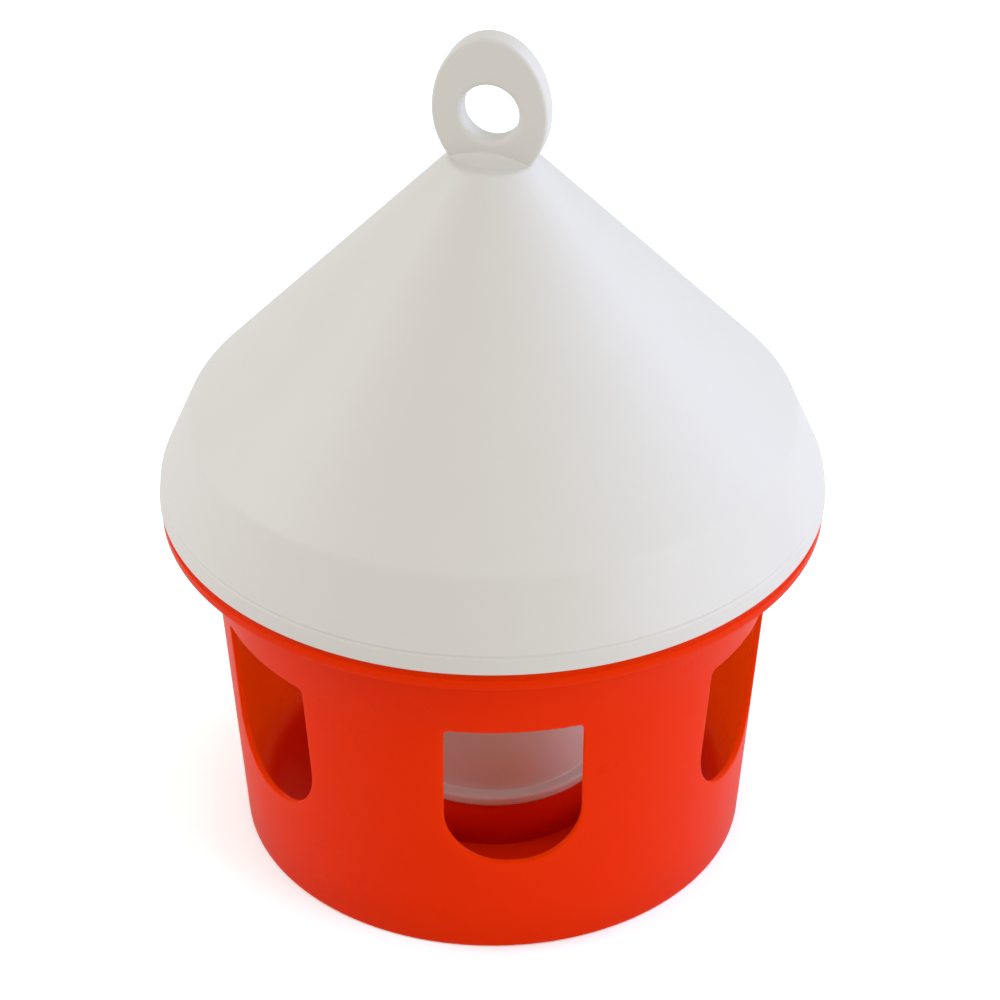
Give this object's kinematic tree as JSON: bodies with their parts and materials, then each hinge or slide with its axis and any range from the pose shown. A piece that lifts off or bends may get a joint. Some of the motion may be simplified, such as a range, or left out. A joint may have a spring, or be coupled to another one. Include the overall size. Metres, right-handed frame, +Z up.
{
  "type": "pigeon drinker",
  "caption": "Pigeon drinker: a conical-roofed water tank with a hanging lug, standing in a drinking pot with arched windows.",
  "frame": {"origin": "centre of the pot's foot, on the ground", "axes": "+Z up through the lug, +Y along the hole in the lug, +X across the lug's wide side"},
  "size_m": [0.254, 0.2538, 0.3354],
  "materials": {
    "white_plastic": "matte, faintly mottled",
    "red_plastic": "semi-gloss"
  },
  "bodies": {
    "root": {"water_tank": "white_plastic", "drinking_pot": "red_plastic"}
  },
  "joints": []
}
